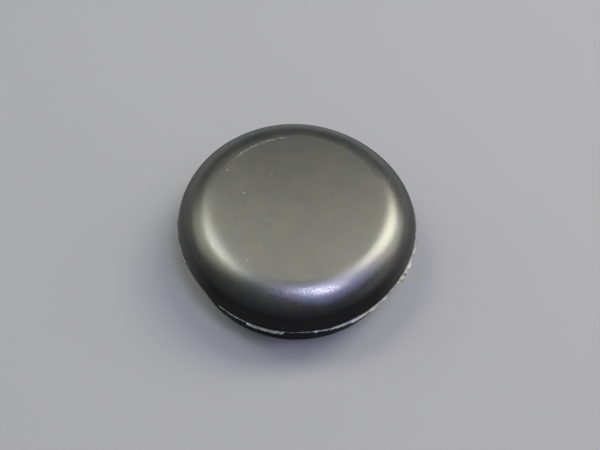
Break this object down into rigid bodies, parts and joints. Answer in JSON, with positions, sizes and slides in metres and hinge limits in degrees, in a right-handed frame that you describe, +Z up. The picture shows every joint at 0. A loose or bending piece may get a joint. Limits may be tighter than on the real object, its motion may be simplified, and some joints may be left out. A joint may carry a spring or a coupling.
{
  "type": "closed rubber grommet",
  "caption": "Round black rubber grommet with no bore: crowned flange with a flat face and rounded shoulder, panel groove, retaining lip and hollow underside.",
  "frame": {"origin": "centre of the flat ring of the foot, on the axis of the grommet, where it rests on a surface", "axes": "+Z up along the axis of revolution and out of the flat face; X and Y are radial, and the parting flash is widest towards -Y and +X, 60 degrees from +X"},
  "size_m": [0.0388, 0.0388, 0.0126],
  "materials": {
    "rubber": "semi-matt black moulded rubber with a fine grain, a soft sheen and a thin ragged flash on the parting line"
  },
  "bodies": {
    "root": {"grommet": "rubber"}
  },
  "joints": []
}
